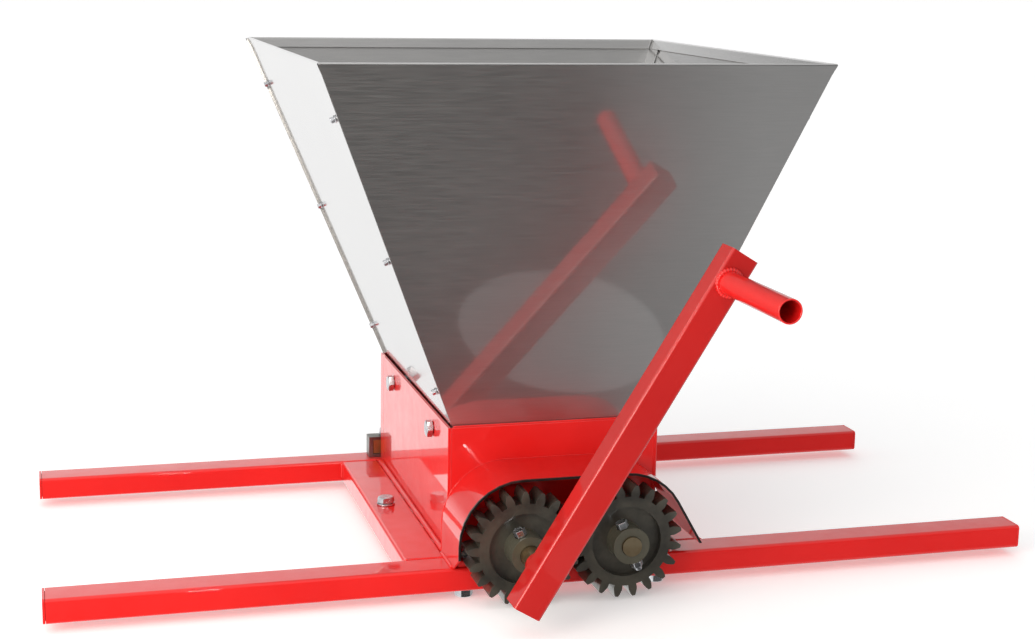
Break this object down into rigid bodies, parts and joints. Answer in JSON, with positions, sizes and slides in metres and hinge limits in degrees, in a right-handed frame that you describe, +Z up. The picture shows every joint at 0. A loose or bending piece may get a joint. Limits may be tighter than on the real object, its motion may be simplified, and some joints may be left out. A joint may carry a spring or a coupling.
{
  "type": "grape crusher",
  "caption": "Hand-cranked grape crusher with a square stainless hopper over a red steel body, meshing rollers driven by spur gears, and long rails that lie across a tub.",
  "frame": {"origin": "middle of the footprint, on the plane under the four rail nuts that it stands on", "axes": "+X along the rails, +Y from the crank side to the back, +Z up through the hopper"},
  "size_m": [0.825, 0.6028, 0.429],
  "materials": {
    "red_paint": "glossy red powder coat",
    "stainless": "brushed stainless sheet",
    "cast_iron": "blackened cast iron",
    "bright_steel": "turned steel",
    "zinc_fastener": "bright zinc plating",
    "bronze": "sintered bearing bronze",
    "cast_aluminium": "as-cast aluminium"
  },
  "bodies": {
    "frame": {"front_rail": "red_paint", "rear_rail": "red_paint", "front_rail_cap_left": "red_paint", "front_rail_cap_right": "red_paint", "rear_rail_cap_left": "red_paint", "rear_rail_cap_right": "red_paint", "cross_member_left": "red_paint", "cross_member_right": "red_paint", "cross_bolt_left": "zinc_fastener", "cross_bolt_right": "zinc_fastener", "front_rail_bolt_left": "zinc_fastener", "front_rail_bolt_right": "zinc_fastener", "rear_rail_bolt_left": "zinc_fastener", "rear_rail_bolt_right": "zinc_fastener", "body_plate_left": "red_paint", "body_plate_right": "red_paint", "body_plate_front": "red_paint", "body_plate_back": "red_paint", "body_bolt_left_front": "zinc_fastener", "body_bolt_left_rear": "zinc_fastener", "body_bolt_right_front": "zinc_fastener", "body_bolt_right_rear": "zinc_fastener", "hopper_panel_left": "stainless", "hopper_panel_right": "stainless", "hopper_panel_front": "stainless", "hopper_panel_back": "stainless", "hopper_screw_left_front_1": "zinc_fastener", "hopper_screw_left_front_2": "zinc_fastener", "hopper_screw_left_front_3": "zinc_fastener", "hopper_screw_left_back_1": "zinc_fastener", "hopper_screw_left_back_2": "zinc_fastener", "hopper_screw_left_back_3": "zinc_fastener", "hopper_screw_right_front_1": "zinc_fastener", "hopper_screw_right_front_2": "zinc_fastener", "hopper_screw_right_front_3": "zinc_fastener", "hopper_screw_right_back_1": "zinc_fastener", "hopper_screw_right_back_2": "zinc_fastener", "hopper_screw_right_back_3": "zinc_fastener", "front_bearer": "red_paint", "rear_channel": "bright_steel", "front_bush_left": "bronze", "front_bush_right": "bronze", "rear_bearing_left": "bronze", "rear_bearing_right": "bronze", "channel_block_left": "bronze", "channel_block_right": "bronze", "gear_guard": "red_paint"},
    "crank": {"crank_arm": "red_paint", "crank_arm_plug_low": "red_paint", "crank_arm_plug_high": "red_paint", "crank_collar": "red_paint", "crank_handle": "red_paint", "drive_shaft": "bright_steel", "drive_gear": "cast_iron", "drive_gear_pin": "zinc_fastener", "drive_roller": "cast_aluminium"},
    "driven_roller": {"driven_shaft": "bright_steel", "driven_gear": "cast_iron", "driven_gear_pin": "zinc_fastener", "driven_roller": "cast_aluminium"}
  },
  "joints": [
    {"name": "crank_turn", "type": "hinge", "parent": "frame", "child": "crank", "pos_m": [-0.044, -0.1101, 0.049], "axis": [0, -1, 0], "continuous": true},
    {"name": "driven_roller_turn", "type": "hinge", "parent": "frame", "child": "driven_roller", "pos_m": [0.041, -0.1101, 0.049], "axis": [0, -1, 0], "continuous": true}
  ],
  "couplings": [
    {"joint": "driven_roller_turn", "follows": "crank_turn", "ratio": -1}
  ]
}
